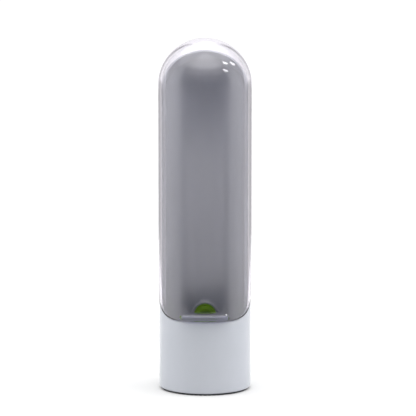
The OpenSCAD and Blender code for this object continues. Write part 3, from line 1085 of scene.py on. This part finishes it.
# Three small lamps at the right in front, which the clear dome mirrors as short bright dashes:
# turn from straight behind, height above level, and tilt, in degrees
LAMPS = ((104, 47, -45), (81, 37, -65), (120, 34, -45))
LAMP_FAR = 1.2
LAMP_LONG, LAMP_WIDE = 0.21, 0.06
LAMP_POWER = 0.7


def add_lamps():
    """The three small lamps, aimed at the dome."""
    for i, (turn, height, tilt) in enumerate(LAMPS):
        turn, height = radians(turn), radians(height)
        way = Vector((cos(height) * sin(turn), cos(height) * cos(turn), sin(height)))
        light = bpy.data.lights.new(f"lamp_{i + 1}", "AREA")
        light.shape = "RECTANGLE"
        light.size, light.size_y = LAMP_LONG, LAMP_WIDE
        light.energy = LAMP_POWER
        facing = way.to_track_quat("Z", "Y") @ Quaternion((0, 0, 1), radians(tilt))
        lamp = linked(f"lamp_{i + 1}", light)
        lamp.matrix_world = Matrix.LocRotScale(DOME_MIDDLE * MM + way * LAMP_FAR, facing, None)


def add_floor():
    """The pale table top, with painted shade: its colour darkens towards the front of the keeper.
    """
    corners = [(side * TABLE_SIDE, y, 0) for side, y in (
        (-1, TABLE_FRONT), (1, TABLE_FRONT), (1, TABLE_BACK), (-1, TABLE_BACK))]
    mesh = bpy.data.meshes.new("floor")
    mesh.from_pydata(corners, [], [(0, 1, 2, 3)])
    linked("floor", mesh)
    material, tree, shader, place = new_material("pale_table")
    at = add_node(tree, "ShaderNodeSeparateXYZ", inputs={0: place})
    # painted shade: the table's colour darkens from pale to a darker tone in front of the keeper,
    # in place of the light falling off there
    tone = add_node(tree, "ShaderNodeMapRange", {"interpolation_type": "SMOOTHSTEP"},
                    {"Value": at.outputs["Y"], "From Min": SHADE_PAINT_TO, "From Max": SHADE_PAINT_FROM,
                     "To Min": TABLE_PAINTED_SHADE, "To Max": TABLE_PALE})
    feed(tree, shader, {
        "Base Color": tone, "Roughness": 1.0, "Specular IOR Level": 0.0,
        "Emission Color": (1, 1, 1, 1), "Emission Strength": TABLE_GLOW})
    mesh.materials.append(material)


def climbed(degrees):
    """How far up a direction reaches that points this much above level."""
    return sin(radians(degrees))


def add_studio():
    """Soft light from all round, one layer over the other."""
    world = bpy.data.worlds.new("studio")
    world.use_nodes = True
    tree = world.node_tree
    way = add_node(tree, "ShaderNodeTexCoord").outputs["Generated"]
    at = add_node(tree, "ShaderNodeSeparateXYZ", inputs={0: way}).outputs
    aside = add_node(tree, "ShaderNodeMath", {"operation": "ABSOLUTE"}, {0: at["X"]})
    turn = add_node(tree, "ShaderNodeMath", {"operation": "ARCTAN2"}, {0: aside, 1: at["Y"]})
    share = add_node(tree, "ShaderNodeMath", {"operation": "DIVIDE"}, {0: turn, 1: pi})
    lowest = climbed(LIGHT_FRONT[0][0])
    climb = add_node(tree, "ShaderNodeMapRange", inputs={"Value": at["Z"], "From Min": lowest})
    # what a layer comes in by, from where to where, what its ramp goes by, and the ramp's stops
    layers = [(at["Z"], climbed(low), climbed(high), share, [(a / 180, value) for a, value in ring])
              for (low, high), ring in ((LOW_RISE, LIGHT_LOW), (ROUND_RISE, LIGHT_ROUND),
                                        (OVERHEAD_RISE, LIGHT_OVERHEAD))]
    layers.append((turn, *(radians(a) for a in FRONT_TURN), climb,
                   [((climbed(a) - lowest) / (1 - lowest), value) for a, value in LIGHT_FRONT]))
    light = (LIGHT_GROUND / RAMP_FULL,) * 3 + (1,)
    for comes_by, start, end, goes_by, stops in layers:
        over = add_node(tree, "ShaderNodeValToRGB", inputs={0: goes_by})
        ramp = over.color_ramp
        ramp.interpolation = "EASE"
        while len(ramp.elements) < len(stops):
            ramp.elements.new(0.5)
        for stop, (place, _) in zip(ramp.elements, stops):
            stop.position = place
        for stop, (_, value) in zip(ramp.elements, stops):
            stop.color = (value / RAMP_FULL,) * 3 + (1,)
        cover = add_node(tree, "ShaderNodeMapRange", {"interpolation_type": "SMOOTHSTEP"},
                         {"Value": comes_by, "From Min": start, "From Max": end})
        mix = add_node(tree, "ShaderNodeMix", {"data_type": "RGBA"},
                       {"Factor": cover, "A": light, "B": over})
        light = mix.outputs["Result"]
    feed(tree, tree.nodes["Background"], {"Color": light, "Strength": RAMP_FULL})
    bpy.context.scene.world = world
    bpy.context.scene.view_settings.view_transform = "Standard"


add_floor()
add_studio()
add_lamps()
